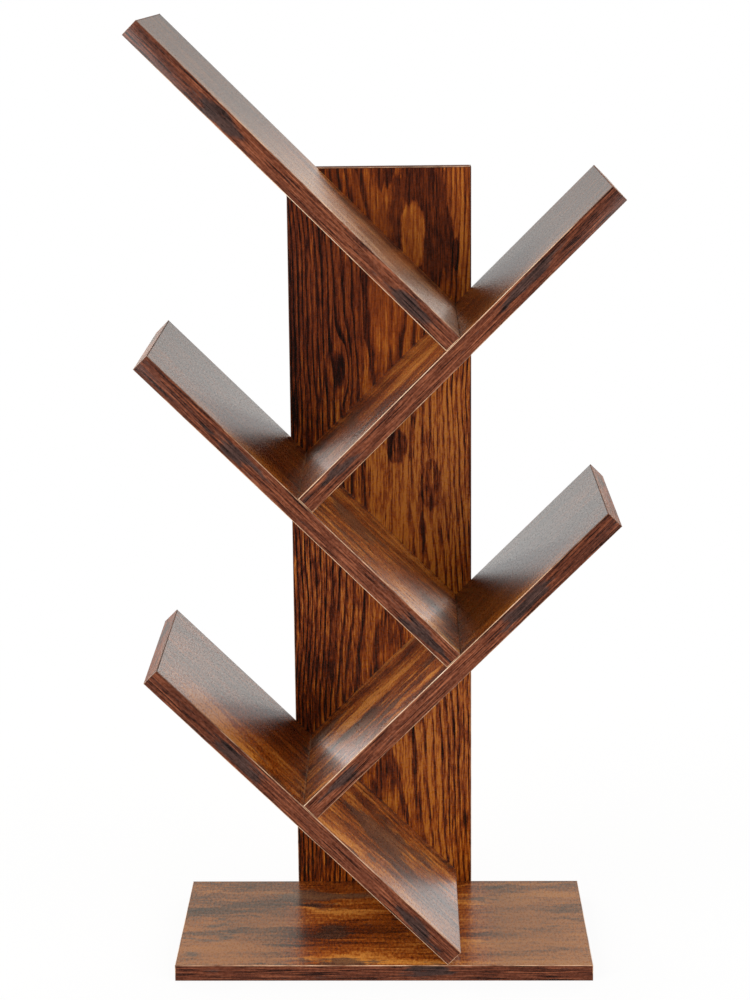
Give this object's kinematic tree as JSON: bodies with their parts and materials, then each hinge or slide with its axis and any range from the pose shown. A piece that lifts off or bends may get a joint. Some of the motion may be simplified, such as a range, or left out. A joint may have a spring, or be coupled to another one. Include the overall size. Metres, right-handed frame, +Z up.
{
  "type": "tree bookshelf",
  "caption": "Free-standing tree-style bookshelf: leaning boards zigzag up a narrow back board on a flat base, making slanted pockets that hold books by their own weight.",
  "frame": {"origin": "on the floor at the middle of the footprint of the whole object", "axes": "+Z up, +X to the right as the front is seen, +Y from the front to the back board"},
  "size_m": [0.4428, 0.2162, 0.9067],
  "materials": {
    "faced_board": "melamine-faced particle board, streaky rustic brown wood print, semi-gloss",
    "edge_band": "streaked brown edge banding, satin",
    "zinc_steel": "zinc-plated",
    "beech": "bare beech"
  },
  "bodies": {
    "root": {"base_panel": "faced_board", "back_panel": "faced_board", "shelf_1_panel": "faced_board", "shelf_2_panel": "faced_board", "shelf_3_panel": "faced_board", "shelf_4_panel": "faced_board", "shelf_5_panel": "faced_board", "base_front_band": "edge_band", "base_rear_band": "edge_band", "base_left_band": "edge_band", "base_right_band": "edge_band", "back_left_band": "edge_band", "back_right_band": "edge_band", "back_top_band": "edge_band", "shelf_1_front_band": "edge_band", "shelf_1_rear_band": "edge_band", "shelf_1_lower_end_band": "edge_band", "shelf_1_upper_end_band": "edge_band", "shelf_2_front_band": "edge_band", "shelf_2_rear_band": "edge_band", "shelf_2_lower_end_band": "edge_band", "shelf_2_upper_end_band": "edge_band", "shelf_3_front_band": "edge_band", "shelf_3_rear_band": "edge_band", "shelf_3_lower_end_band": "edge_band", "shelf_3_upper_end_band": "edge_band", "shelf_4_front_band": "edge_band", "shelf_4_rear_band": "edge_band", "shelf_4_lower_end_band": "edge_band", "shelf_4_upper_end_band": "edge_band", "shelf_5_front_band": "edge_band", "shelf_5_rear_band": "edge_band", "shelf_5_lower_end_band": "edge_band", "shelf_5_upper_end_band": "edge_band", "base_back_screw_1": "zinc_steel", "base_back_screw_2": "zinc_steel", "shelf_1_back_screw_1": "zinc_steel", "shelf_1_back_screw_2": "zinc_steel", "shelf_2_back_screw_1": "zinc_steel", "shelf_2_back_screw_2": "zinc_steel", "shelf_3_back_screw_1": "zinc_steel", "shelf_3_back_screw_2": "zinc_steel", "shelf_4_back_screw_1": "zinc_steel", "shelf_4_back_screw_2": "zinc_steel", "shelf_5_back_screw_1": "zinc_steel", "shelf_5_back_screw_2": "zinc_steel", "joint_1_2_screw_1": "zinc_steel", "joint_1_2_screw_2": "zinc_steel", "joint_2_3_screw_1": "zinc_steel", "joint_2_3_screw_2": "zinc_steel", "joint_3_4_screw_1": "zinc_steel", "joint_3_4_screw_2": "zinc_steel", "joint_4_5_screw_1": "zinc_steel", "joint_4_5_screw_2": "zinc_steel", "joint_1_2_dowel": "beech", "joint_2_3_dowel": "beech", "joint_3_4_dowel": "beech", "joint_4_5_dowel": "beech"}
  },
  "joints": []
}
